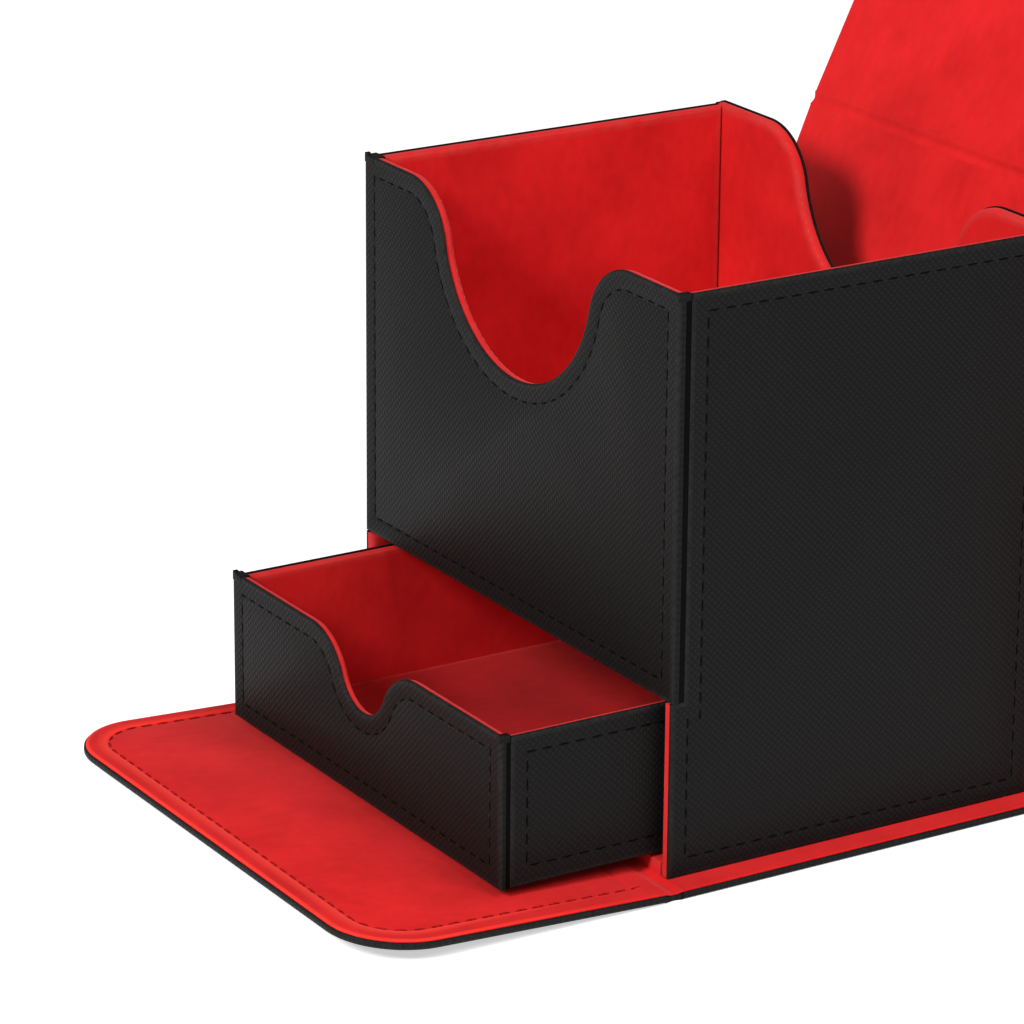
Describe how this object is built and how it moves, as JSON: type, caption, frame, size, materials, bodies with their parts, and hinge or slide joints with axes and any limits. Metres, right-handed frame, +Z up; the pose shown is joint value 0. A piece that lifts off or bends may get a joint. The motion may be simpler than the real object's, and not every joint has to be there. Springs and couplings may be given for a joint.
{
  "type": "card deck box",
  "caption": "Leather-covered card deck box with scooped walls, a tray drawer below and a wrap-around cover of hinged panels, standing open.",
  "frame": {"origin": "centre of the case's footprint, on the underside of the base panel", "axes": "+Z up, front of the case towards -Y, +X to the right of someone facing the rear wall from the front"},
  "size_m": [0.113, 0.2174, 0.2335],
  "materials": {
    "black_leather": "cross-grained, satin",
    "fold_leather": "cross-grained, satin, flexible",
    "red_lining": "brushed microfibre",
    "grey_board": "raw grey board",
    "magnet_steel": "nickel plated"
  },
  "bodies": {
    "case": {"base_leather": "black_leather", "base_board": "grey_board", "base_lining": "red_lining", "rear_cover_leather": "black_leather", "rear_cover_board": "grey_board", "rear_cover_lining": "red_lining", "flap_fold": "fold_leather", "back_fold": "fold_leather", "front_wall_leather": "black_leather", "front_wall_board": "grey_board", "front_wall_lining": "red_lining", "front_wall_magnets": "magnet_steel", "rear_wall_leather": "black_leather", "rear_wall_board": "grey_board", "rear_wall_lining": "red_lining", "left_wall_leather": "black_leather", "left_wall_board": "grey_board", "left_wall_lining": "red_lining", "right_wall_leather": "black_leather", "right_wall_board": "grey_board", "right_wall_lining": "red_lining", "shelf_board": "grey_board", "shelf_lining": "red_lining", "bay_ceiling_lining": "red_lining", "bay_floor_board": "grey_board", "bay_floor_lining": "red_lining"},
    "front_flap": {"flap_leather": "black_leather", "flap_board": "grey_board", "flap_lining": "red_lining", "flap_magnets": "magnet_steel"},
    "lid_back": {"lid_back_leather": "black_leather", "lid_back_board": "grey_board", "lid_back_lining": "red_lining", "top_fold": "fold_leather"},
    "lid_top": {"lid_top_leather": "black_leather", "lid_top_board": "grey_board", "lid_top_lining": "red_lining", "front_fold": "fold_leather"},
    "lid_front": {"lid_front_leather": "black_leather", "lid_front_board": "grey_board", "lid_front_lining": "red_lining", "lid_magnets": "magnet_steel"},
    "drawer": {"drawer_front_leather": "black_leather", "drawer_front_board": "grey_board", "drawer_front_lining": "red_lining", "drawer_back_leather": "black_leather", "drawer_back_board": "grey_board", "drawer_back_lining": "red_lining", "drawer_left_leather": "black_leather", "drawer_left_board": "grey_board", "drawer_left_lining": "red_lining", "drawer_right_leather": "black_leather", "drawer_right_board": "grey_board", "drawer_right_lining": "red_lining", "drawer_floor_leather": "black_leather", "drawer_floor_board": "grey_board", "drawer_floor_lining": "red_lining"}
  },
  "joints": [
    {"name": "drawer_slide", "type": "slide", "parent": "case", "child": "drawer", "axis": [0, -1, 0], "range_m": [-0.0308, 0.022]},
    {"name": "front_flap_hinge", "type": "hinge", "parent": "case", "child": "front_flap", "pos_m": [0, -0.04125, 0.0018], "axis": [-1, 0, 0], "range_deg": [-2.8, 0.4]},
    {"name": "lid_back_hinge", "type": "hinge", "parent": "case", "child": "lid_back", "pos_m": [0, 0.0416, 0.049], "axis": [1, 0, 0], "range_deg": [-66.7, 23.3]},
    {"name": "lid_top_hinge", "type": "hinge", "parent": "lid_back", "child": "lid_top", "pos_m": [0, 0.06265, 0.10243], "axis": [1, 0, 0], "range_deg": [-12, 93]},
    {"name": "lid_front_hinge", "type": "hinge", "parent": "lid_top", "child": "lid_front", "pos_m": [0, 0.09958, 0.17715], "axis": [1, 0, 0], "range_deg": [-20, 78]}
  ]
}
